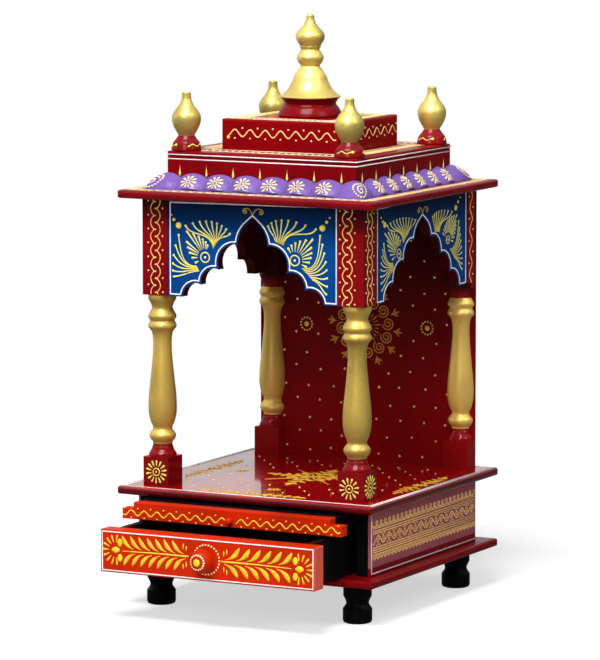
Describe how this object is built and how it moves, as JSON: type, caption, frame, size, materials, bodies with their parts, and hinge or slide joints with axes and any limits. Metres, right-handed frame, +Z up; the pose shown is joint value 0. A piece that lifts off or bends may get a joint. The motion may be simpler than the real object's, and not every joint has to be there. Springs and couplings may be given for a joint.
{
  "type": "pooja mandir",
  "caption": "Painted wooden home shrine with turned pillars, cusped arches, a lobed cornice and gold finials, over a plinth with a pull-out drawer and tray.",
  "frame": {"origin": "on the ground, under the middle of the whole footprint with the drawer pulled out as shown", "axes": "+Z up, front towards -Y, +X to the right when facing the front"},
  "size_m": [0.302, 0.4004, 0.62],
  "materials": {
    "maroon_lacquer": "gloss",
    "gold_paint": "gloss",
    "blue_paint": "gloss",
    "purple_paint": "gloss",
    "vermilion_paint": "gloss",
    "black_paint": "satin"
  },
  "bodies": {
    "cabinet": {"foot_front_left": "black_paint", "foot_front_right": "black_paint", "foot_back_left": "black_paint", "foot_back_right": "black_paint", "base_board": "maroon_lacquer", "plinth_left": "maroon_lacquer", "plinth_right": "maroon_lacquer", "plinth_back": "maroon_lacquer", "tray_runner_left": "black_paint", "tray_runner_right": "black_paint", "floor_board": "maroon_lacquer", "pillar_front_left": "gold_paint", "pillar_front_right": "gold_paint", "pillar_back_left": "gold_paint", "pillar_back_right": "gold_paint", "arch_front": "blue_paint", "arch_left": "blue_paint", "arch_right": "blue_paint", "back_panel": "maroon_lacquer", "roof_board": "maroon_lacquer", "cornice_front": "purple_paint", "cornice_right": "purple_paint", "cornice_back": "purple_paint", "cornice_left": "purple_paint", "upper_tier": "maroon_lacquer", "tier_lid": "maroon_lacquer", "top_box": "maroon_lacquer", "finial_front_left": "gold_paint", "finial_front_right": "gold_paint", "finial_back_left": "gold_paint", "finial_back_right": "gold_paint", "crown_base": "maroon_lacquer", "crown": "gold_paint"},
    "drawer": {"drawer_front": "vermilion_paint", "drawer_left": "black_paint", "drawer_right": "black_paint", "drawer_back": "black_paint", "drawer_bottom": "black_paint", "drawer_knob": "vermilion_paint"},
    "tray": {"tray_front": "vermilion_paint", "tray_board": "black_paint", "tray_knob": "vermilion_paint"}
  },
  "joints": [
    {"name": "drawer_slide", "type": "slide", "parent": "cabinet", "child": "drawer", "axis": [0, -1, 0], "range_m": [-0.081, 0.069]},
    {"name": "tray_slide", "type": "slide", "parent": "cabinet", "child": "tray", "axis": [0, -1, 0], "range_m": [-0.0355, 0.0845]}
  ]
}
